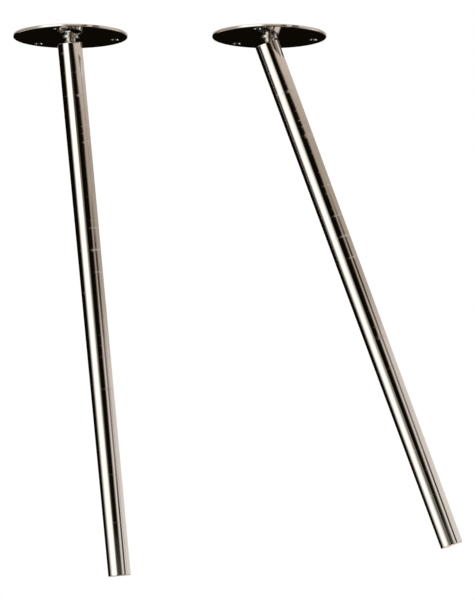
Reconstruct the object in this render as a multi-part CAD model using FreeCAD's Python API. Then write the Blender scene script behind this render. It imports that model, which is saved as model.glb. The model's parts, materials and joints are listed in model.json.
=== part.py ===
"""A pair of polished tube legs, each hung from a round screw-on plate.

Millimetres, +Z up. The origin is the centre of the left plate's top face, which is the face that
lies against the furniture. +X points to the right plate. Each leg swivels under its plate about
the plate's own axis, and tilts about a pin inside the top of its tube.
"""

import FreeCAD
import Part
import math
import os

V = FreeCAD.Vector
X, Y, Z = V(1, 0, 0), V(0, 1, 0), V(0, 0, 1)
ORIGIN = V(0, 0, 0)

# how far a cutting tool runs past the work
OVERRUN = 1.0

# the pair: where each plate stands, which way its leg leans (degrees from +X towards +Y), and how far
PLATE_SPACING = 260.0
LEGS = {
    "left": {"x": 0.0, "azimuth": 53.6, "lean": 9.1},
    "right": {"x": PLATE_SPACING, "azimuth": 13.1, "lean": 20.7},
}

# mounting plate
PLATE_R = 75.0
PLATE_T = 4.0
PLATE_EDGE_R = 1.2
SCREW_CIRCLE_R = 60.0
SCREW_ANGLES = (15.0, 135.0, 255.0)
SCREW_HOLE_R = 2.75
SCREW_SINK_R = 5.25
PIVOT_HOLE_R = 3.05
PIVOT_SINK_R = 6.3

# countersunk pivot screw, M6
PIVOT_SCREW_R = 3.0
PIVOT_HEAD_DROP = 0.15
CONE_GAP = 0.05
PIVOT_SCREW_LENGTH = 13.6
PIVOT_TIP_CHAMFER = 0.5
SOCKET_AF = 4.0
SOCKET_DEPTH = 2.2

# heights are measured from the hinge pin's axis, which is this far under the plate's top face
PIVOT_DROP = 21.5
UNDERSIDE = PIVOT_DROP - PLATE_T
GAP = 0.05

# lock ring
RING_R = 11.0
RING_T = 1.65
RING_BORE_R = 7.3
RING_CHAMFER = 0.35

# post: threaded stem, flat neck and round eye
STEM_R = 7.25
STEM_FOOT = 11.0
THREAD_PITCH = 1.0
THREAD_DEPTH = 0.5
TAP_R = 3.025
TAP_FOOT = 6.5
NECK_W = 11.0
EYE_R = 6.5
EYE_T = 8.0
EYE_HOLE_R = 2.55

# tube
TUBE_LENGTH = 698.0
TUBE_TOP = 9.5
TUBE_TOP_R = 16.0
TUBE_FOOT_R = 14.8
WALL = 1.5
RIM_R = 0.5
TUBE_FOOT = TUBE_TOP - TUBE_LENGTH
TAPER = (TUBE_TOP_R - TUBE_FOOT_R) / TUBE_LENGTH

# clevis plug, pin and washers
PLUG_TOP = 5.0
PLUG_FOOT = -38.0
PLUG_GAP = 0.02
SLOT_W = 10.0
SLOT_FOOT = -7.0
PRELOAD_BORE_R = 4.5
PIN_R = 2.5
PIN_LENGTH = 28.0
PIN_HOLE_R = 2.52
PIN_CHAMFER = 0.4
WASHER_R = 6.5
WASHER_T = 0.94
WASHER_GAP = 0.02

# friction pad, disc springs and the screw that presses them
PAD_R = 4.45
PAD_FOOT = -14.0
PAD_HORN = -5.0
PAD_SADDLE_R = 6.55
DISC_COUNT = 4
DISC_R = 4.3
DISC_BORE_R = 2.1
DISC_T = 0.5
DISC_RISE = 0.4
PRELOAD_LENGTH = 8.0
PRELOAD_R = 4.45
PRELOAD_CHAMFER = 0.5

# foot glide
GLIDE_PROUD = 1.0
GLIDE_RIM_R = 14.2
GLIDE_EDGE_R = 0.6
GLIDE_PLUG_LENGTH = 14.0
GLIDE_WALL = 2.2
GLIDE_FLOOR_T = 3.0
GLIDE_GAP = 0.03


def tube_radius(z):
    """Outer radius of the tapered tube at height z above the pin."""
    return TUBE_FOOT_R + TAPER * (z - TUBE_FOOT)


def cylinder(radius, low, high, direction=Z):
    return Part.makeCylinder(radius, high - low, direction * low, direction)


def cone(low_radius, high_radius, low, high):
    return Part.makeCone(low_radius, high_radius, high - low, Z * low, Z)


def revolved(points):
    """Solid of revolution about Z of a closed outline of (radius, height) points."""
    corners = [V(r, 0, z) for r, z in points]
    outline = Part.makePolygon(corners + corners[:1])
    return Part.Face(outline).revolve(ORIGIN, Z, 360)


def hexagon(across_flats, low, high):
    corner_r = across_flats / math.sqrt(3)
    angles = [math.radians(60 * i) for i in range(6)]
    corners = [V(corner_r * math.cos(a), corner_r * math.sin(a), low) for a in angles]
    return Part.Face(Part.makePolygon(corners + corners[:1])).extrude(Z * (high - low))


def circles_of(shape, radius, height):
    """The circular edges of that radius that lie at that height."""
    found = []
    for edge in shape.Edges:
        if isinstance(edge.Curve, Part.Circle):
            same_height = abs(edge.Curve.Center.z - height) < 1e-4
            if same_height and abs(edge.Curve.Radius - radius) < 1e-4:
                found.append(edge)
    return found


# --- pieces of the plate and swivel, with the pin's axis at the origin and the plate above ---


def mounting_plate():
    """Round plate, countersunk from above for the pivot screw and from below for wood screws."""
    top, bottom = PIVOT_DROP, UNDERSIDE
    plate = cylinder(PLATE_R, bottom, top)
    rim = circles_of(plate, PLATE_R, top) + circles_of(plate, PLATE_R, bottom)
    plate = plate.makeFillet(PLATE_EDGE_R, rim)
    plate = plate.cut(cylinder(PIVOT_HOLE_R, bottom - OVERRUN, top + OVERRUN))
    plate = plate.cut(cone(0.0, PIVOT_SINK_R, top - PIVOT_SINK_R, top))
    for angle in SCREW_ANGLES:
        hole = cylinder(SCREW_HOLE_R, bottom - OVERRUN, top + OVERRUN)
        sink = cone(SCREW_SINK_R, 0.0, bottom, bottom + SCREW_SINK_R)
        drill = hole.fuse(sink)
        drill.translate(X * SCREW_CIRCLE_R)
        drill.rotate(ORIGIN, Z, angle)
        plate = plate.cut(drill)
    return plate


def pivot_screw():
    """Countersunk socket screw, its cone a running fit in the plate's countersink."""
    head_top = PIVOT_DROP - PIVOT_HEAD_DROP
    head_r = PIVOT_SINK_R - PIVOT_HEAD_DROP - CONE_GAP * math.sqrt(2)
    head_foot = head_top - (head_r - PIVOT_SCREW_R)
    tip = PIVOT_DROP - PIVOT_SCREW_LENGTH
    screw = revolved([
        (0, tip), (PIVOT_SCREW_R - PIVOT_TIP_CHAMFER, tip), (PIVOT_SCREW_R, tip + PIVOT_TIP_CHAMFER),
        (PIVOT_SCREW_R, head_foot), (head_r, head_top), (0, head_top),
    ])
    return screw.cut(hexagon(SOCKET_AF, head_top - SOCKET_DEPTH, head_top + OVERRUN))


def lock_ring():
    top = UNDERSIDE - GAP
    bottom = top - RING_T
    return revolved([
        (RING_BORE_R, bottom), (RING_R - RING_CHAMFER, bottom),
        (RING_R, bottom + RING_CHAMFER), (RING_R, top), (RING_BORE_R, top),
    ])


def post():
    """Threaded stem, tapped from above, with a flat neck and a round eye on the pin."""
    top = UNDERSIDE - GAP
    outline = [(0, STEM_FOOT), (STEM_R - THREAD_DEPTH, STEM_FOOT)]
    z = STEM_FOOT + THREAD_DEPTH
    # the thread is drawn as a run of equal V grooves
    while z + THREAD_PITCH < top:
        outline += [(STEM_R, z), (STEM_R - THREAD_DEPTH, z + THREAD_PITCH / 2)]
        z += THREAD_PITCH
    outline += [(STEM_R, z), (STEM_R, top), (0, top)]
    stem = revolved(outline)
    neck = Part.makeBox(NECK_W, EYE_T, STEM_FOOT + OVERRUN, V(-NECK_W / 2, -EYE_T / 2, 0))
    eye = cylinder(EYE_R, -EYE_T / 2, EYE_T / 2, Y)
    body = stem.fuse([neck, eye]).removeSplitter()
    body = body.cut(cylinder(EYE_HOLE_R, -EYE_T, EYE_T, Y))
    return body.cut(cylinder(TAP_R, TAP_FOOT, top + OVERRUN))


# --- pieces of the tube, with the pin's axis at the origin and the tube along Z ---


def tube():
    """Straight tapered tube with square-cut, softened ends."""
    outer = cone(TUBE_FOOT_R, TUBE_TOP_R, TUBE_FOOT, TUBE_TOP)
    bore = cone(TUBE_FOOT_R - WALL, TUBE_TOP_R - WALL, TUBE_FOOT, TUBE_TOP)
    shell = outer.cut(bore)
    ends = []
    for radius, height in ((TUBE_TOP_R, TUBE_TOP), (TUBE_FOOT_R, TUBE_FOOT)):
        ends += circles_of(shell, radius, height) + circles_of(shell, radius - WALL, height)
    return shell.makeFillet(RIM_R, ends)


def clevis_plug():
    """Plug in the tube's top: a slot for the eye, a hole for the pin, a bore for the preload."""
    high_r = tube_radius(PLUG_TOP) - WALL - PLUG_GAP
    low_r = tube_radius(PLUG_FOOT) - WALL - PLUG_GAP
    plug = cone(low_r, high_r, PLUG_FOOT, PLUG_TOP)
    slot_h = PLUG_TOP - SLOT_FOOT + OVERRUN
    slot = Part.makeBox(4 * high_r, SLOT_W, slot_h, V(-2 * high_r, -SLOT_W / 2, SLOT_FOOT))
    plug = plug.cut(slot)
    plug = plug.cut(cylinder(PIN_HOLE_R, -2 * high_r, 2 * high_r, Y))
    return plug.cut(cylinder(PRELOAD_BORE_R, PLUG_FOOT - OVERRUN, 0))


def hinge_pin():
    half = PIN_LENGTH / 2
    pin = revolved([
        (0, -half), (PIN_R - PIN_CHAMFER, -half), (PIN_R, -half + PIN_CHAMFER),
        (PIN_R, half - PIN_CHAMFER), (PIN_R - PIN_CHAMFER, half), (0, half),
    ])
    pin.rotate(ORIGIN, X, 90)
    return pin


def eye_washers():
    """Two washers on the pin, one on each side of the eye."""
    inner = EYE_T / 2 + WASHER_GAP
    washers = []
    for side in (-1, 1):
        ring = cylinder(WASHER_R, inner, inner + WASHER_T, Y * side)
        hole = cylinder(PIN_HOLE_R, inner - OVERRUN, inner + WASHER_T + OVERRUN, Y * side)
        washers.append(ring.cut(hole))
    return Part.makeCompound(washers)


def friction_pad():
    """Round pad with a saddle that fits the eye."""
    pad = cylinder(PAD_R, PAD_FOOT, PAD_HORN)
    return pad.cut(cylinder(PAD_SADDLE_R, -2 * PAD_R, 2 * PAD_R, Y))


def disc_springs():
    """Coned discs stacked in pairs, rim to rim and bore to bore."""
    discs = []
    height = DISC_T + DISC_RISE
    for i in range(DISC_COUNT):
        inner_rise, outer_rise = (DISC_RISE, 0) if i % 2 else (0, DISC_RISE)
        foot = PAD_FOOT - (i + 1) * (height + WASHER_GAP)
        discs.append(revolved([
            (DISC_BORE_R, foot + inner_rise), (DISC_R, foot + outer_rise),
            (DISC_R, foot + outer_rise + DISC_T), (DISC_BORE_R, foot + inner_rise + DISC_T),
        ]))
    return Part.makeCompound(discs)


def preload_screw():
    """Socket set screw, turned with a long key from the tube's foot."""
    top = PAD_FOOT - DISC_COUNT * (DISC_T + DISC_RISE + WASHER_GAP) - WASHER_GAP
    foot = top - PRELOAD_LENGTH
    screw = revolved([
        (0, foot), (PRELOAD_R - PRELOAD_CHAMFER, foot), (PRELOAD_R, foot + PRELOAD_CHAMFER),
        (PRELOAD_R, top - PRELOAD_CHAMFER), (PRELOAD_R - PRELOAD_CHAMFER, top), (0, top),
    ])
    return screw.cut(hexagon(SOCKET_AF, foot - OVERRUN, foot + 2 * SOCKET_DEPTH))


def foot_glide():
    """Hollow plug in the tube's foot with a low rounded rim to stand on."""
    sole = TUBE_FOOT - GLIDE_PROUD
    seat = TUBE_FOOT - GLIDE_GAP
    plug_top = TUBE_FOOT + GLIDE_PLUG_LENGTH
    low_r = tube_radius(TUBE_FOOT) - WALL - GLIDE_GAP
    high_r = tube_radius(plug_top) - WALL - GLIDE_GAP
    rim = cylinder(GLIDE_RIM_R, sole, seat)
    rim = rim.makeFillet(GLIDE_EDGE_R, circles_of(rim, GLIDE_RIM_R, sole))
    plug = cone(low_r, high_r, seat, plug_top)
    glide = rim.fuse(plug)
    hollow = cone(low_r - GLIDE_WALL, high_r - GLIDE_WALL, sole + GLIDE_FLOOR_T, plug_top + OVERRUN)
    return glide.cut(hollow).removeSplitter()


FIXED = {"mounting_plate": mounting_plate}
SWIVELLING = {"pivot_screw": pivot_screw, "lock_ring": lock_ring, "post": post}
TILTING = {
    "tube": tube,
    "clevis_plug": clevis_plug,
    "hinge_pin": hinge_pin,
    "eye_washers": eye_washers,
    "friction_pad": friction_pad,
    "disc_springs": disc_springs,
    "preload_screw": preload_screw,
    "foot_glide": foot_glide,
}


def placed(shape, leg, tilts, swivels):
    """Lean, swivel and hang a piece under its plate. A positive lean swings the foot to the azimuth."""
    shape = shape.copy()
    if tilts:
        shape.rotate(ORIGIN, -Y, leg["lean"])
    if swivels:
        shape.rotate(ORIGIN, Z, leg["azimuth"])
    shape.translate(V(leg["x"], 0, -PIVOT_DROP))
    return shape


def main():
    os.makedirs("parts", exist_ok=True)
    for group, tilts, swivels in (
        (FIXED, False, False), (SWIVELLING, False, True), (TILTING, True, True)
    ):
        for name, make in group.items():
            shape = make()
            for side, leg in LEGS.items():
                placed(shape, leg, tilts, swivels).exportStep(f"parts/{side}_{name}.step")


main()
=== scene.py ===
"""The finished look of two polished tube legs on swivel plates, built round the CAD frame.

New pieces are shaped in millimetres with the hinge pin's axis at the origin and the plate above,
then placed in metres by the leg's own joints. Pieces that nobody sees keep their CAD shape.
"""

import json
import math

import bmesh
import bpy
from mathutils import Matrix, Vector


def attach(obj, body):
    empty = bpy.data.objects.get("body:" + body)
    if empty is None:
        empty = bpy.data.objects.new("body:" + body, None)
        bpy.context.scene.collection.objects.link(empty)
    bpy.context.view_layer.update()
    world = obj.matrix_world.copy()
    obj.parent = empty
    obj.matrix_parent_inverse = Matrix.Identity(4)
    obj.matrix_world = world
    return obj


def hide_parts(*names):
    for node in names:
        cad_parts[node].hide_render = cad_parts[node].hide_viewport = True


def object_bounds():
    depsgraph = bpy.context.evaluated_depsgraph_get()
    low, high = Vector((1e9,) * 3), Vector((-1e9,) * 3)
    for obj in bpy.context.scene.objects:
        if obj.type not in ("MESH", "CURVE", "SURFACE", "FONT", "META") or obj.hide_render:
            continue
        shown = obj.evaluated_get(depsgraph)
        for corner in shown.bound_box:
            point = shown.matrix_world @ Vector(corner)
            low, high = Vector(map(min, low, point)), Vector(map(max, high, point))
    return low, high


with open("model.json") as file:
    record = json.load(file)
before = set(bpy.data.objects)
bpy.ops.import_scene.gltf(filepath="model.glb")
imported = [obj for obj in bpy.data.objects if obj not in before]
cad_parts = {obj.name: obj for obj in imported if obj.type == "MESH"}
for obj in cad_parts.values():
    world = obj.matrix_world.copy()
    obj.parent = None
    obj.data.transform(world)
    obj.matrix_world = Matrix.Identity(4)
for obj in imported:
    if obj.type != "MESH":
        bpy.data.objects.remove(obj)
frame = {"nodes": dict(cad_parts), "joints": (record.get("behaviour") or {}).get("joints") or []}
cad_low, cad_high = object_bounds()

scene = bpy.context.scene
scene.view_settings.view_transform = "Standard"
joints = {joint["name"]: joint for joint in frame["joints"]}
SIDES = ("left", "right")
MM = 0.001
MERGE_MM = 0.0005
LEVEL_MM = 1e-4
SHARP_ANGLE = math.radians(32)

# --- camera: a long lens a little below the feet, looking up at the plates' undersides ---

LENS_MM = 480.0
CAMERA_DISTANCE = 10.415
CAMERA_ELEVATION = math.radians(-9.2)
AIM = Vector((0.2185, 0.0119, -0.3497))

camera = bpy.data.objects.new("camera", bpy.data.cameras.new("camera"))
scene.collection.objects.link(camera)
scene.camera = camera
camera.data.lens = LENS_MM
camera.data.clip_end = 60.0
back = Vector((0.0, -math.cos(CAMERA_ELEVATION), math.sin(CAMERA_ELEVATION)))
camera.location = AIM + back * CAMERA_DISTANCE
camera.rotation_mode = "QUATERNION"
camera.rotation_quaternion = (-back).to_track_quat("-Z", "Y")

# --- sizes in mm; heights are above the hinge pin's axis ---

PLATE_TOP = 21.5
PLATE_FOOT = 17.5
PLATE_R = 75.0
PLATE_EDGE_R = 1.2
# narrow flat bands beside the rounded rim keep its shading clean
PLATE_FACE_BAND = 1.4
PLATE_RIM_BAND = 1.35
# inside this radius each face is filled round its holes
FILL_R = 72.0
SCREW_CIRCLE_R = 60.0
SCREW_ANGLES = (15.0, 135.0, 255.0)
SCREW_HOLE_R = 2.75
SCREW_SINK_R = 5.25
PIVOT_HOLE_R = 3.05
PIVOT_SINK_R = 6.3
SINK_BAND = 0.4
SOFT_EDGE = 0.15

HEAD_TOP = 21.35
HEAD_R = 6.079
PIVOT_R = 3.0
PIVOT_TIP = 7.9
PIVOT_CHAMFER = 0.5
HEAD_BAND = 0.5
HEAD_EDGE_R = 0.1
SOCKET_AF = 4.0
SOCKET_DEPTH = 2.2

STEM_TOP = 17.45
RING_FOOT = 15.8
RING_R = 11.0
RING_BORE_R = 7.3
RING_EDGE_R = 0.35
STEM_R = 7.25
STEM_ROOT_R = 6.75
STEM_FOOT = 11.0
STEM_EDGE_R = 0.3
PITCH = 1.0
THREAD_START = STEM_FOOT + 0.6 * PITCH
THREAD_TURNS = 5.25
ROOT_HALF_W = 0.42 * PITCH
CREST_HALF_W = 0.07 * PITCH
# the ridge's root stands this far inside the stem's core
ROOT_SUNK = 0.05
TAP_R = 3.025
TAP_FOOT = 6.5
NECK_TOP = 12.0
NECK_HALF_W = 5.5
EYE_R = 6.5
EYE_HALF_T = 4.0
EYE_HOLE_R = 2.55

TUBE_TOP = 9.5
TUBE_FOOT = -688.5
TUBE_TOP_R = 16.0
TUBE_FOOT_R = 14.8
WALL = 1.5
RIM_R = 0.5
# close rings this far from each end keep the long wall true
END_BAND = 1.2
GLIDE_SOLE = -689.5
GLIDE_SEAT = -688.53
GLIDE_TOP = -674.5
GLIDE_RIM_R = 14.2
GLIDE_WALL = 2.2
GLIDE_GAP = 0.03
GLIDE_FLOOR = GLIDE_SOLE + 3.0
GLIDE_SOLE_EDGE_R = 0.6
GLIDE_LIP_R = 0.4
GATE_R = 1.6
GATE_RIM_R = 2.4
GATE_DEPTH = 0.4


def tube_radius(height):
    """The tapered tube's outer radius at a height."""
    share = (height - TUBE_FOOT) / (TUBE_TOP - TUBE_FOOT)
    return TUBE_FOOT_R + (TUBE_TOP_R - TUBE_FOOT_R) * share


# --- colours and nodes ---


def colour(text):
    """The linear colour of an sRGB hex value."""
    parts = [int(text[i:i + 2], 16) / 255 for i in (1, 3, 5)]
    return [c / 12.92 if c < 0.04045 else ((c + 0.055) / 1.055) ** 2.4 for c in parts] + [1.0]


def add(tree, kind, inputs=None, **settings):
    """Add a node. inputs maps a socket to a value, to an output, or to a node for its first output."""
    made = tree.nodes.new("ShaderNode" + kind)
    for name, value in settings.items():
        setattr(made, name, value)
    for socket, value in (inputs or {}).items():
        if isinstance(value, bpy.types.Node):
            value = value.outputs[0]
        if isinstance(value, bpy.types.NodeSocket):
            tree.links.new(value, made.inputs[socket])
        else:
            made.inputs[socket].default_value = value
    return made


def blank(name):
    """A material with an empty tree."""
    material = bpy.data.materials.new(name)
    material.use_nodes = True
    material.node_tree.nodes.clear()
    return material, material.node_tree


def polished_chrome():
    """Bright chrome plate on ground and buffed steel: a mirror with a warm grey cast, a slow
    waviness left by the buffing wheel, and hairlines round the piece that only break the
    hardest edges of a reflection."""
    material, tree = blank("polished_chrome_plate")
    own = add(tree, "Attribute", attribute_name="own_mm").outputs["Vector"]
    # buffing waves about 45 mm long on the tube and 14 mm round it
    along = add(tree, "Mapping", {"Vector": own, "Scale": (1 / 14, 1 / 14, 1 / 45)})
    waves = add(tree, "TexNoise", {"Vector": along, "Scale": 1.0, "Detail": 1.0})
    # hairlines 0.6 mm apart, coarser than the real ones so that they show
    round_lines = add(tree, "Mapping", {"Vector": own, "Scale": (0.05, 0.05, 1.6)})
    lines = add(tree, "TexNoise", {"Vector": round_lines, "Scale": 1.0, "Detail": 3.0})
    haze = add(tree, "MapRange", {
        "Value": waves.outputs["Fac"], "From Min": 0.3, "From Max": 0.7, "To Min": 0.02, "To Max": 0.04})
    # a scuffed ring every few centimetres of tube
    spaced = add(tree, "Mapping", {"Vector": own, "Scale": (0.012, 0.012, 1 / 7)})
    scuffs = add(tree, "TexNoise", {"Vector": spaced, "Scale": 1.0, "Detail": 3.0})
    scuffed = add(tree, "MapRange", {
        "Value": scuffs.outputs["Fac"], "From Min": 0.6, "From Max": 0.72, "To Min": 0.0, "To Max": 0.12})
    haze = add(tree, "Math", {0: haze, 1: scuffed}, operation="ADD")
    tint = add(tree, "Mix", {
        0: waves.outputs["Fac"], 6: colour("#E9E4DE"), 7: colour("#DFDBD6")}, data_type="RGBA")
    broad = add(tree, "Bump", {
        "Height": waves.outputs["Fac"], "Strength": 0.35, "Distance": 0.00008})
    fine = add(tree, "Bump", {
        "Height": lines.outputs["Fac"], "Strength": 0.12, "Distance": 0.000004, "Normal": broad})
    shader = add(tree, "BsdfPrincipled", {
        "Metallic": 1.0, "Base Color": tint.outputs[2], "Roughness": haze, "Normal": fine})
    add(tree, "OutputMaterial", {0: shader})
    return material


def zinc_plated_steel():
    """Bright zinc on machined steel: a cool soft shine with cloudy grey patches."""
    material, tree = blank("bright_zinc_plated_steel")
    where = add(tree, "TexCoord").outputs["Object"]
    # clouds 3 mm across and a crystalline grain of 0.3 mm
    clouds = add(tree, "TexNoise", {"Vector": where, "Scale": 1000 / 3, "Detail": 2.0})
    grain = add(tree, "TexNoise", {"Vector": where, "Scale": 1000 / 0.3, "Detail": 2.0})
    tint = add(tree, "Mix", {
        0: clouds.outputs["Fac"], 6: colour("#B9BDC2"), 7: colour("#DADBD8")}, data_type="RGBA")
    rough = add(tree, "MapRange", {"Value": clouds.outputs["Fac"], "To Min": 0.2, "To Max": 0.4})
    bump = add(tree, "Bump", {"Height": grain.outputs["Fac"], "Strength": 0.2, "Distance": 0.00002})
    shader = add(tree, "BsdfPrincipled", {
        "Metallic": 1.0, "Base Color": tint.outputs[2], "Roughness": rough, "Normal": bump})
    add(tree, "OutputMaterial", {0: shader})
    return material


def turned_aluminium(side, matrix):
    """Aluminium bar turned on a lathe: satin, with the tool's lines round it."""
    material, tree = blank("turned_aluminium_" + side)
    where = add(tree, "TexCoord").outputs["Object"]
    straight = add(tree, "Mapping", {
        "Vector": where, "Location": matrix.to_translation(), "Rotation": matrix.to_euler()},
        vector_type="TEXTURE")
    # a wave repeats every 2 pi / 20 / scale: 2.5 mm, coarser than the real feed so that it shows
    lines = add(tree, "TexWave", {
        "Vector": straight, "Scale": 125.0, "Distortion": 0.4, "Detail": 1.0},
        bands_direction="Z")
    tint = add(tree, "Mix", {
        0: lines.outputs["Fac"], 6: colour("#C6C7C9"), 7: colour("#DDDDDE")}, data_type="RGBA")
    bump = add(tree, "Bump", {"Height": lines.outputs["Fac"], "Strength": 0.4, "Distance": 0.00003})
    shader = add(tree, "BsdfPrincipled", {
        "Metallic": 1.0, "Roughness": 0.32, "Base Color": tint.outputs[2], "Normal": bump})
    add(tree, "OutputMaterial", {0: shader})
    return material


def natural_nylon():
    """Undyed nylon 6 straight from the mould: milky ivory, half translucent, with a spark-eroded
    mould grain and slightly greyed clouds."""
    material, tree = blank("moulded_natural_nylon")
    where = add(tree, "TexCoord").outputs["Object"]
    # flow clouds 6 mm across, mould grain 0.25 mm
    clouds = add(tree, "TexNoise", {"Vector": where, "Scale": 1000 / 6, "Detail": 2.0})
    grain = add(tree, "TexNoise", {"Vector": where, "Scale": 1000 / 0.25, "Detail": 2.0})
    tint = add(tree, "Mix", {
        0: clouds.outputs["Fac"], 6: colour("#E9E4D6"), 7: colour("#DDD7C8")}, data_type="RGBA")
    rough = add(tree, "MapRange", {"Value": grain.outputs["Fac"], "To Min": 0.4, "To Max": 0.55})
    bump = add(tree, "Bump", {"Height": grain.outputs["Fac"], "Strength": 0.3, "Distance": 0.00003})
    shader = add(tree, "BsdfPrincipled", {
        "IOR": 1.53, "Base Color": tint.outputs[2], "Roughness": rough, "Normal": bump,
        "Subsurface Weight": 0.15, "Subsurface Scale": 0.001, "Subsurface Radius": (1.0, 0.9, 0.7)})
    add(tree, "OutputMaterial", {0: shader})
    return material


def black_acetal():
    """Acetal rod turned to size: dense near-black plastic with a dull waxy sheen and fine lines."""
    material, tree = blank("turned_black_acetal")
    where = add(tree, "TexCoord").outputs["Object"]
    # turning marks 0.4 mm across
    grain = add(tree, "TexNoise", {"Vector": where, "Scale": 1000 / 0.4, "Detail": 3.0})
    tint = add(tree, "Mix", {
        0: grain.outputs["Fac"], 6: colour("#141416"), 7: colour("#26262A")}, data_type="RGBA")
    rough = add(tree, "MapRange", {"Value": grain.outputs["Fac"], "To Min": 0.3, "To Max": 0.45})
    bump = add(tree, "Bump", {"Height": grain.outputs["Fac"], "Strength": 0.3, "Distance": 0.00002})
    shader = add(tree, "BsdfPrincipled", {
        "IOR": 1.48, "Base Color": tint.outputs[2], "Roughness": rough, "Normal": bump})
    add(tree, "OutputMaterial", {0: shader})
    return material


# --- shapes ---


def turned(outline, rounds=None, steps=96, closed=False):
    """Lathe an outline of (radius, height) about Z. rounds maps a corner to its edge radius.
    An outline that isn't closed stays open between its last point and its first."""
    shape = bmesh.new()
    corners = [shape.verts.new((radius, 0, height)) for radius, height in outline]
    shape.faces.new(corners)
    for corner, radius in (rounds or {}).items():
        bmesh.ops.bevel(
            shape, geom=[corners[corner]], offset=radius, offset_type="OFFSET", segments=6,
            profile=0.5, affect="VERTICES", material=-1)
    bmesh.ops.delete(shape, geom=shape.faces[:], context="FACES_ONLY")
    if not closed:
        first, last = corners[0], corners[-1]
        opening = [e for e in first.link_edges if e.other_vert(first) is last]
        bmesh.ops.delete(shape, geom=opening, context="EDGES")
    bmesh.ops.spin(
        shape, geom=shape.verts[:] + shape.edges[:], cent=(0, 0, 0), axis=(0, 0, 1),
        dvec=(0, 0, 0), angle=2 * math.pi, steps=steps, use_merge=True)
    bmesh.ops.remove_doubles(shape, verts=shape.verts[:], dist=MERGE_MM)
    return shape


def put_in(shape, part, matrix=Matrix()):
    """Move a finished part into a shape that is being built up."""
    bmesh.ops.transform(part, matrix=matrix, verts=part.verts[:])
    carrier = bpy.data.meshes.new("carrier")
    part.to_mesh(carrier)
    part.free()
    shape.from_mesh(carrier)
    bpy.data.meshes.remove(carrier)


def open_edges(shape, height):
    """The open edges that lie at one height."""
    return [
        e for e in shape.edges
        if len(e.link_faces) < 2 and all(abs(v.co.z - height) < LEVEL_MM for v in e.verts)]


def fill_level(shape, height):
    """Close a flat face at one height, leaving its holes open."""
    bmesh.ops.triangle_fill(
        shape, use_beauty=True, use_dissolve=False, edges=open_edges(shape, height), normal=(0, 0, 1))


def mounting_plate():
    """Round plate with a rounded rim, countersunk above for the pivot and below for three screws."""
    shape = turned([
        (FILL_R, PLATE_TOP), (PLATE_R - PLATE_FACE_BAND, PLATE_TOP), (PLATE_R, PLATE_TOP),
        (PLATE_R, PLATE_TOP - PLATE_RIM_BAND), (PLATE_R, PLATE_FOOT + PLATE_RIM_BAND),
        (PLATE_R, PLATE_FOOT), (PLATE_R - PLATE_FACE_BAND, PLATE_FOOT), (FILL_R, PLATE_FOOT)],
        {2: PLATE_EDGE_R, 5: PLATE_EDGE_R}, steps=240)
    put_in(shape, turned([
        (PIVOT_SINK_R + SINK_BAND, PLATE_TOP), (PIVOT_SINK_R, PLATE_TOP),
        (PIVOT_HOLE_R, PLATE_TOP - PIVOT_SINK_R + PIVOT_HOLE_R), (PIVOT_HOLE_R, PLATE_FOOT)],
        {1: SOFT_EDGE}, steps=64))
    for angle in SCREW_ANGLES:
        sink = turned([
            (SCREW_HOLE_R, PLATE_TOP), (SCREW_HOLE_R, PLATE_FOOT + SCREW_SINK_R - SCREW_HOLE_R),
            (SCREW_SINK_R, PLATE_FOOT), (SCREW_SINK_R + SINK_BAND, PLATE_FOOT)],
            {2: SOFT_EDGE}, steps=48)
        there = Matrix.Rotation(math.radians(angle), 4, "Z") @ Matrix.Translation((SCREW_CIRCLE_R, 0, 0))
        put_in(shape, sink, there)
    fill_level(shape, PLATE_TOP)
    fill_level(shape, PLATE_FOOT)
    return shape


def pivot_screw():
    """Countersunk screw with a hexagon socket."""
    shape = turned([
        (0, PIVOT_TIP), (PIVOT_R - PIVOT_CHAMFER, PIVOT_TIP), (PIVOT_R, PIVOT_TIP + PIVOT_CHAMFER),
        (PIVOT_R, HEAD_TOP - HEAD_R + PIVOT_R), (HEAD_R, HEAD_TOP), (HEAD_R - HEAD_BAND, HEAD_TOP)],
        {4: HEAD_EDGE_R}, steps=64)
    socket = bmesh.new()
    bmesh.ops.create_circle(
        socket, segments=6, radius=SOCKET_AF / math.sqrt(3), matrix=Matrix.Translation((0, 0, HEAD_TOP)))
    walls = bmesh.ops.extrude_edge_only(socket, edges=socket.edges[:])["geom"]
    low = [v for v in walls if isinstance(v, bmesh.types.BMVert)]
    bmesh.ops.translate(socket, vec=(0, 0, -SOCKET_DEPTH), verts=low)
    bmesh.ops.contextual_create(socket, geom=low)
    put_in(shape, socket)
    fill_level(shape, HEAD_TOP)
    return shape


def lock_ring():
    """Flat ring under the plate, rounded most at the edge that shows."""
    return turned([
        (RING_BORE_R, RING_FOOT), (RING_R, RING_FOOT), (RING_R, STEM_TOP), (RING_BORE_R, STEM_TOP)],
        {0: SOFT_EDGE, 1: RING_EDGE_R, 2: SOFT_EDGE, 3: SOFT_EDGE}, steps=96, closed=True)


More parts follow.
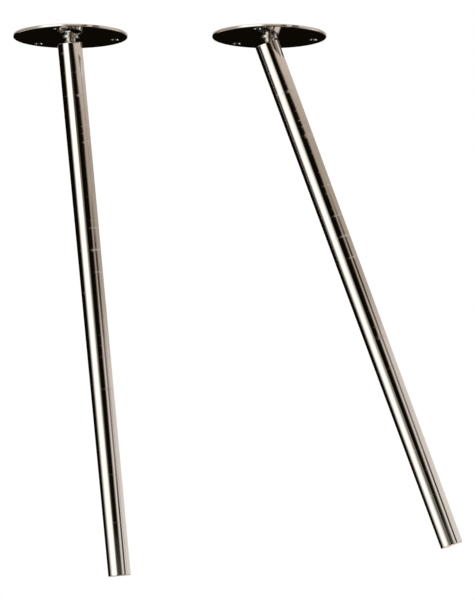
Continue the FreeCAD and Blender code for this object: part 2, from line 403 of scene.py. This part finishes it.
def post():
    """Threaded stem with a flat neck and a round eye, bored for the pivot screw."""
    # neck and eye: one side face with its pin hole, drawn at the back and pushed through
    shape = bmesh.new()
    eye_start = math.sqrt(EYE_R ** 2 - NECK_HALF_W ** 2)
    shoulder = shape.verts.new((NECK_HALF_W, -EYE_HALF_T, eye_start))
    sweep = 2 * math.pi - 2 * math.atan2(NECK_HALF_W, eye_start)
    bmesh.ops.spin(
        shape, geom=[shoulder], cent=(0, -EYE_HALF_T, 0), axis=(0, 1, 0), dvec=(0, 0, 0),
        angle=sweep, steps=48)
    shape.verts.ensure_lookup_table()
    far = min(shape.verts, key=lambda v: (v.co - Vector((-NECK_HALF_W, -EYE_HALF_T, eye_start))).length)
    corners = [shape.verts.new((side * NECK_HALF_W, -EYE_HALF_T, NECK_TOP)) for side in (1, -1)]
    for pair in ((shoulder, corners[0]), corners, (corners[1], far)):
        shape.edges.new(pair)
    flat = Matrix.Translation((0, -EYE_HALF_T, 0)) @ Matrix.Rotation(math.pi / 2, 4, "X")
    bmesh.ops.create_circle(shape, segments=40, radius=EYE_HOLE_R, matrix=flat)
    bmesh.ops.triangle_fill(
        shape, use_beauty=True, use_dissolve=False, edges=shape.edges[:], normal=(0, -1, 0))
    pushed = bmesh.ops.extrude_face_region(shape, geom=shape.faces[:], use_keep_orig=True)["geom"]
    front = [v for v in pushed if isinstance(v, bmesh.types.BMVert)]
    bmesh.ops.translate(shape, vec=(0, 2 * EYE_HALF_T, 0), verts=front)
    lid = [f for f in shape.faces if all(abs(v.co.z - NECK_TOP) < LEVEL_MM for v in f.verts)]
    bmesh.ops.delete(shape, geom=lid, context="FACES_ONLY")
    put_in(shape, turned([(0, TAP_FOOT), (TAP_R, TAP_FOOT), (TAP_R, NECK_TOP)], steps=48))
    fill_level(shape, NECK_TOP)
    # stem core
    put_in(shape, turned([
        (TAP_R, STEM_FOOT), (STEM_ROOT_R, STEM_FOOT), (STEM_ROOT_R, STEM_TOP), (TAP_R, STEM_TOP)],
        {1: STEM_EDGE_R}, steps=72, closed=True))
    # thread: one ridge wound up the core
    thread = bmesh.new()
    root_r = STEM_ROOT_R - ROOT_SUNK
    ridge = [
        thread.verts.new((radius, 0, THREAD_START + rise))
        for radius, rise in (
            (root_r, -ROOT_HALF_W), (STEM_R, -CREST_HALF_W), (STEM_R, CREST_HALF_W), (root_r, ROOT_HALF_W))]
    for i in range(4):
        thread.edges.new((ridge[i - 1], ridge[i]))
    steps_a_turn = 60
    bmesh.ops.spin(
        thread, geom=thread.verts[:] + thread.edges[:], cent=(0, 0, 0), axis=(0, 0, 1),
        dvec=(0, 0, PITCH / steps_a_turn), angle=2 * math.pi * THREAD_TURNS,
        steps=int(THREAD_TURNS * steps_a_turn))
    bmesh.ops.holes_fill(thread, edges=thread.edges[:], sides=4)
    put_in(shape, thread)
    return shape


def tube():
    """Tapered tube with softened square-cut ends."""
    high, low = TUBE_TOP - END_BAND, TUBE_FOOT + END_BAND
    return turned([
        (TUBE_TOP_R - WALL, TUBE_TOP), (TUBE_TOP_R, TUBE_TOP), (tube_radius(high), high),
        (tube_radius(low), low), (TUBE_FOOT_R, TUBE_FOOT), (TUBE_FOOT_R - WALL, TUBE_FOOT),
        (tube_radius(low) - WALL, low), (tube_radius(high) - WALL, high)],
        {0: RIM_R, 1: RIM_R, 4: RIM_R, 5: RIM_R}, steps=192, closed=True)


def foot_glide():
    """Moulded plug with a low rounded rim to stand on and a gate dimple in its sole."""
    low_r = tube_radius(TUBE_FOOT) - WALL - GLIDE_GAP
    high_r = tube_radius(GLIDE_TOP) - WALL - GLIDE_GAP
    return turned([
        (0, GLIDE_SOLE + GATE_DEPTH), (GATE_R, GLIDE_SOLE + GATE_DEPTH), (GATE_RIM_R, GLIDE_SOLE),
        (GLIDE_RIM_R, GLIDE_SOLE), (GLIDE_RIM_R, GLIDE_SEAT), (low_r, GLIDE_SEAT), (high_r, GLIDE_TOP),
        (high_r - GLIDE_WALL, GLIDE_TOP), (low_r - GLIDE_WALL, GLIDE_FLOOR), (0, GLIDE_FLOOR)],
        {3: GLIDE_SOLE_EDGE_R, 6: GLIDE_LIP_R, 7: GLIDE_LIP_R}, steps=128)


# --- placing ---


def leg_matrices(side):
    """Where a side's plate, its swivelling pieces and its tilting pieces stand, from the joints."""
    swivel, tilt = joints[side + "_swivel"], joints[side + "_tilt"]
    pin = Matrix.Translation((swivel["pos_m"][0], 0, tilt["pos_m"][2]))
    azimuth = math.atan2(tilt["axis"][0], -tilt["axis"][1])
    lean = -math.radians(sum(tilt["range_deg"]) / 2)
    turn = Matrix.Rotation(azimuth, 4, "Z")
    return pin, pin @ turn, pin @ turn @ Matrix.Rotation(-lean, 4, "Y")


def place(name, node, shape, matrix, material, body):
    """Finish a shape as a piece: put it where its leg stands, hang it on its body and hide the CAD node it
    replaces.
    """
    bmesh.ops.remove_doubles(shape, verts=shape.verts[:], dist=MERGE_MM)
    bmesh.ops.recalc_face_normals(shape, faces=shape.faces[:])
    for face in shape.faces:
        face.smooth = True
    mesh = bpy.data.meshes.new(name)
    shape.to_mesh(mesh)
    shape.free()
    # each point keeps its place on the piece, in mm, for patterns that follow the piece
    own = mesh.attributes.new("own_mm", "FLOAT_VECTOR", "POINT")
    own.data.foreach_set("vector", [c for vertex in mesh.vertices for c in vertex.co])
    mesh.transform(matrix @ Matrix.Scale(MM, 4))
    mesh.set_sharp_from_angle(angle=SHARP_ANGLE)
    mesh.materials.append(material)
    piece = bpy.data.objects.new(name, mesh)
    scene.collection.objects.link(piece)
    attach(piece, body)
    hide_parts(node)


chrome = polished_chrome()
zinc = zinc_plated_steel()
nylon = natural_nylon()
acetal = black_acetal()

for side in SIDES:
    fixed, swivelling, tilting = leg_matrices(side)
    for node, make, matrix, material, slot, body in (
        ("mounting_plate", mounting_plate, fixed, chrome, "chrome", "plates"),
        ("pivot_screw", pivot_screw, swivelling, zinc, "zinc_steel", side + "_swivel_post"),
        ("lock_ring", lock_ring, swivelling, chrome, "chrome", side + "_swivel_post"),
        ("post", post, swivelling, chrome, "chrome", side + "_swivel_post"),
        ("tube", tube, tilting, chrome, "chrome", side + "_leg"),
        ("foot_glide", foot_glide, tilting, nylon, "nylon", side + "_leg"),
    ):
        place(f"{side}_{node}_finished", f"{side}_{node}", make(), matrix, material, body)
    for node, material in (
        ("clevis_plug", turned_aluminium(side, tilting)), ("hinge_pin", zinc), ("eye_washers", nylon),
        ("friction_pad", acetal), ("disc_springs", zinc), ("preload_screw", zinc),
    ):
        inner = frame["nodes"][f"{side}_{node}"]
        inner.data.materials.clear()
        inner.data.materials.append(material)

# --- studio: a white room seen by the camera, with soft panels and dark flags for the chrome ---

# Bearings and heights are in degrees: bearing 0 is the camera's side and +90 is +X. The panels stand
# along the legs. A place along a leg goes from 0 at the top of its panels to 1 at their foot, and
# LEG_REACH says how far ahead of square to the leg those two lie. PANEL_TURN faces them to its lean.
LEG_REACH = {"left": (-3.73, 0.09), "right": (-5.64, -1.81)}
PANEL_TURN = {"left": 1.7, "right": -4.0}
NEARER_BLEND = 0.4
PLACE_ENDS = (-0.05, 1.05)

# what changes along a leg, as stops of (place, value)
WALL_EDGE = ((0.0, 31.0), (0.2, 52.0), (1.0, 30.0))
WALL_TONES = (
    (0.05, "#D8CBC1"), (0.2, "#B8AA9D"), (0.35, "#B8AB9E"), (0.5, "#BEB0A5"), (0.62, "#E2D8D2"),
    (0.8, "#E7DFDA"), (0.95, "#EBE6E0"))
FLAG_CENTRE = ((-0.05, 78.9), (1.05, 59.1))
FLAG_HALF_W = ((-0.05, 12.2), (1.05, 7.8))
FLAG_FADE = 2.5
FLAG_STRENGTH = ((0.3, 0.0), (0.42, 0.95))
# the flag is this much weaker along its middle
FLAG_THINNER = 0.25
KEY_START = ((-0.05, -73.15), (1.05, -113.85))
KEY_START_FULL = ((-0.05, -52.35), (1.05, -66.65))
KEY_END_FULL = ((-0.05, -18.5), (1.05, -51.5))
KEY_END = ((0.0, -1.0), (0.2, 3.0), (1.0, -8.0))
GLOW_STRENGTH = ((0.96, 0.0), (1.03, 0.07))

# tones in linear light, because the key's are brighter than white
KEY_TONE = (1.4, 1.4, 1.38, 1.0)
KEY_EDGE_TONE = (1.35, 1.24, 0.87, 1.0)
GLOW_TONE = (1.0, 1.0, 0.94, 1.0)
# heights where the wall and the key softbox begin
PANEL_SILL = (-55, -40)

# the low half of the room: its upper rim by bearing, and strips and flags by their spans of bearing
LOW_RIM = ((30.0, -5.5), (90.0, 3.5))
LOW_STRIPS = (
    ((-152, -148), (-122, -116), "#FFFFFF"), ((-112, -106), (-88, -80), "#15110D"),
    ((44, 50), (58, 66), "#2A241E"), ((92, 97), (116, 122), "#FFFFFF"),
    ((126, 130), (144, 152), "#1A1612"))

FLOOR_GAP = 0.0005
FLOOR_CENTRE = Vector(((cad_low.x + cad_high.x) / 2, (cad_low.y + cad_high.y) / 2, cad_low.z - FLOOR_GAP))
FLOOR_R = 1.4
FLOOR_FADE = (0.45, 1.3)
OVERHEAD_ENERGY = 2.2
OVERHEAD_SPREAD = math.radians(40)
OVERHEAD_TURN = (math.radians(12), math.radians(-8), 0)


def follow(tree, reading, stops):
    """A value that goes straight from stop to stop as a reading grows. A stop is (reading, value)."""
    total = None
    for (low, at_low), (high, at_high) in zip(stops, stops[1:]):
        held = at_low if total is None else 0.0
        leg = add(tree, "MapRange", {
            "Value": reading, "From Min": low, "From Max": high, "To Min": held,
            "To Max": held + at_high - at_low})
        total = leg if total is None else add(tree, "Math", {0: total, 1: leg}, operation="ADD")
    return total


def inside(tree, *spans):
    """1 where every reading is inside its span, else 0. A span is (reading, start, end), with start
    (nothing yet, full) and end (still full, nothing), and None for a side that has no edge."""
    share = None
    for reading, start, end in spans:
        for edge, at_first, at_second in ((start, 0.0, 1.0), (end, 1.0, 0.0)):
            if edge is None:
                continue
            step = add(tree, "MapRange", {
                "Value": reading, "From Min": edge[0], "From Max": edge[1], "To Min": at_first,
                "To Max": at_second}, interpolation_type="SMOOTHSTEP")
            share = step if share is None else add(tree, "Math", {0: share, 1: step}, operation="MULTIPLY")
    return share


def studio():
    """The world: what the chrome mirrors, and plain white where the camera sees it."""
    world = bpy.data.worlds.new("studio")
    scene.world = world
    world.use_nodes = True
    tree = world.node_tree
    tree.nodes.clear()
    direction = add(tree, "TexCoord").outputs["Generated"]
    way = add(tree, "SeparateXYZ", {0: direction}).outputs
    towards = add(tree, "Math", {0: way[1], 1: -1.0}, operation="MULTIPLY")
    bearing_rad = add(tree, "Math", {0: way[0], 1: towards}, operation="ARCTAN2")
    true_bearing = add(tree, "Math", {0: bearing_rad}, operation="DEGREES")
    height_rad = add(tree, "Math", {0: way[2]}, operation="ARCSINE")
    height = add(tree, "Math", {0: height_rad}, operation="DEGREES")

    # the place along each leg, and then along the nearer one
    places, off = {}, {}
    for side in SIDES:
        axis = leg_matrices(side)[2].to_3x3() @ Vector((0, 0, -1))
        ahead = add(tree, "VectorMath", {0: direction, 1: axis}, operation="DOT_PRODUCT")
        angle_rad = add(tree, "Math", {0: ahead.outputs["Value"]}, operation="ARCSINE")
        angle = add(tree, "Math", {0: angle_rad}, operation="DEGREES")
        top, foot = LEG_REACH[side]
        places[side] = add(tree, "MapRange", {"Value": angle, "From Min": top, "From Max": foot}, clamp=False)
        from_middle = add(tree, "Math", {0: places[side], 1: 0.5}, operation="SUBTRACT")
        off[side] = add(tree, "Math", {0: from_middle}, operation="ABSOLUTE")
    # 0 where the left leg is nearer and 1 where the right leg is
    lead = add(tree, "Math", {0: off["left"], 1: off["right"]}, operation="SUBTRACT")
    nearer = follow(tree, lead, ((-NEARER_BLEND, 0.0), (NEARER_BLEND, 1.0)))
    along = add(tree, "Mix", {0: nearer, 2: places["left"], 3: places["right"]}, data_type="FLOAT")
    along = add(tree, "Clamp", {0: along, 1: PLACE_ENDS[0], 2: PLACE_ENDS[1]})
    turn = follow(tree, nearer, ((0.0, -PANEL_TURN["left"]), (1.0, -PANEL_TURN["right"])))
    bearing = add(tree, "Math", {0: true_bearing, 1: turn}, operation="ADD")

    # warm wall on the right, curving away from the camera and back, and brighter towards the feet
    tones = add(tree, "ValToRGB", {0: along})
    stops = tones.color_ramp.elements
    for stop, tone in WALL_TONES:
        stops.new(stop).color = colour(tone)
    stops.remove(stops[0])
    stops.remove(stops[len(stops) - 1])
    past_edge = add(tree, "Math", {0: bearing, 1: follow(tree, along, WALL_EDGE)}, operation="SUBTRACT")
    low_back = inside(tree, (true_bearing, (140, 155), (300, 310)), (height, None, (-4, -1)))
    kept = add(tree, "Math", {0: 1.0, 1: low_back}, operation="SUBTRACT")
    wall = inside(
        tree, (past_edge, (-10, 10), None), (true_bearing, (0, 1), (176, 179)), (height, PANEL_SILL, None))
    wall = add(tree, "Math", {0: wall, 1: kept}, operation="MULTIPLY")

    # narrow flag that draws the fine dark line down the lower part of each tube
    past_flag = add(tree, "Math", {0: bearing, 1: follow(tree, along, FLAG_CENTRE)}, operation="SUBTRACT")
    from_flag = add(tree, "Math", {0: past_flag}, operation="ABSOLUTE")
    half = follow(tree, along, FLAG_HALF_W)
    outer = add(tree, "Math", {0: half, 1: FLAG_FADE}, operation="ADD")
    middle = inside(tree, (along, (0.52, 0.6), (0.82, 0.9)))
    thinner = add(tree, "Math", {0: middle, 1: FLAG_THINNER}, operation="MULTIPLY")
    strength = add(tree, "Math", {0: follow(tree, along, FLAG_STRENGTH), 1: thinner}, operation="SUBTRACT")
    flag = inside(tree, (from_flag, None, (half, outer)))
    flag = add(tree, "Math", {0: flag, 1: strength}, operation="MULTIPLY")

    # pale band all round above the panels of the leg that leans most
    sky = inside(tree, (height, (8.6, 9.8), None), (places["right"], None, (-0.5, -0.15)))

    # key softbox on the left, wider and softer towards the feet; its cloth glows olive at the edge
    key_start = follow(tree, along, KEY_START), follow(tree, along, KEY_START_FULL)
    key_end = follow(tree, along, KEY_END_FULL), follow(tree, along, KEY_END)
    key = inside(tree, (bearing, key_start, key_end), (height, PANEL_SILL, (50, 60)))
    thin = follow(tree, key, ((0.0, 0.0), (0.45, 1.0)))
    cloth = add(tree, "Mix", {0: thin, 6: KEY_EDGE_TONE, 7: KEY_TONE}, data_type="RGBA")

    # glow of the floor in front of the feet, a strip far round the back and a pale ceiling
    glow = inside(tree, (bearing, (-60, -40), (20, 35)))
    glow = add(tree, "Math", {0: glow, 1: follow(tree, along, GLOW_STRENGTH)}, operation="MULTIPLY")
    strip = inside(tree, (true_bearing, (-177, -175), (-162, -158)), (height, (-3, 0), (60, 70)))
    ceiling = inside(tree, (height, (29, 50), None))

    # the low half of the room at the right and behind, a dim floor with strips and flags on it,
    # which stand again above the right leg's panels
    over_rim = add(tree, "Math", {0: height, 1: follow(tree, true_bearing, LOW_RIM)}, operation="SUBTRACT")
    right_side = true_bearing, (18, 30), (158, 170)
    low_right = inside(tree, right_side, (over_rim, None, (-3.5, 0)))
    low_left = inside(tree, (true_bearing, (-176, -168), (-80, -70)), (height, None, (-28, -22)))
    above = inside(tree, right_side, (height, (9, 12), (32, 50)), (places["right"], None, (-1.0, -0.6)))
    low = add(tree, "Math", {0: low_right, 1: low_left}, operation="MAXIMUM")
    low = add(tree, "Math", {0: low, 1: above}, operation="MAXIMUM")
    low = add(tree, "Math", {0: low, 1: inside(tree, (height, (-62, -48), None))}, operation="MULTIPLY")
    room = colour("#A3978C")
    for begin, finish, tone in LOW_STRIPS:
        share = inside(tree, (true_bearing, begin, finish))
        room = add(tree, "Mix", {0: share, 6: room, 7: colour(tone)}, data_type="RGBA").outputs[2]

    light = colour("#0E0B06")
    for share, tone in (
        (wall, tones), (flag, colour("#33291F")), (sky, colour("#C4B7AC")), (key, cloth.outputs[2]),
        (glow, GLOW_TONE), (strip, colour("#FFFFFF")), (ceiling, colour("#EDEAE6")),
        (low, room),
    ):
        light = add(tree, "Mix", {0: share, 6: light, 7: tone}, data_type="RGBA").outputs[2]
    mirrored = add(tree, "Background", {0: light})
    seen = add(tree, "Background", {0: colour("#FFFFFF")})
    camera_ray = add(tree, "LightPath").outputs["Is Camera Ray"]
    mixed = add(tree, "MixShader", {0: camera_ray, 1: mirrored, 2: seen})
    add(tree, "OutputWorld", {0: mixed})


def floor():
    """Pale floor under the feet that fades out, seen from above only."""
    material, tree = blank("matt_studio_floor")
    where = add(tree, "TexCoord").outputs["Object"]
    centred = add(tree, "Mapping", {"Vector": where, "Location": FLOOR_CENTRE}, vector_type="TEXTURE")
    reach = add(tree, "VectorMath", {0: centred}, operation="LENGTH").outputs["Value"]
    fade = add(tree, "MapRange", {
        "Value": reach, "From Min": FLOOR_FADE[0], "From Max": FLOOR_FADE[1]},
        interpolation_type="SMOOTHSTEP")
    behind = add(tree, "NewGeometry").outputs["Backfacing"]
    clear = add(tree, "Math", {0: fade, 1: behind}, operation="MAXIMUM")
    # faint mottling 4 mm across
    grain = add(tree, "TexNoise", {"Vector": where, "Scale": 1000 / 4, "Detail": 3.0})
    tint = add(tree, "Mix", {
        0: grain.outputs["Fac"], 6: colour("#F4F3F1"), 7: colour("#EFEEEC")}, data_type="RGBA")
    matt = add(tree, "BsdfDiffuse", {"Color": tint.outputs[2]})
    through = add(tree, "BsdfTransparent")
    mixed = add(tree, "MixShader", {0: clear, 1: matt, 2: through})
    add(tree, "OutputMaterial", {0: mixed})
    disc = bmesh.new()
    bmesh.ops.create_circle(
        disc, cap_ends=True, segments=128, radius=FLOOR_R, matrix=Matrix.Translation(FLOOR_CENTRE))
    mesh = bpy.data.meshes.new("floor")
    disc.to_mesh(mesh)
    disc.free()
    mesh.materials.append(material)
    ground = bpy.data.objects.new("floor", mesh)
    scene.collection.objects.link(ground)
    ground.visible_glossy = False


studio()
floor()

overhead = bpy.data.objects.new("overhead", bpy.data.lights.new("overhead", "SUN"))
scene.collection.objects.link(overhead)
overhead.data.energy = OVERHEAD_ENERGY
overhead.data.angle = OVERHEAD_SPREAD
overhead.rotation_euler = OVERHEAD_TURN
overhead.visible_glossy = False
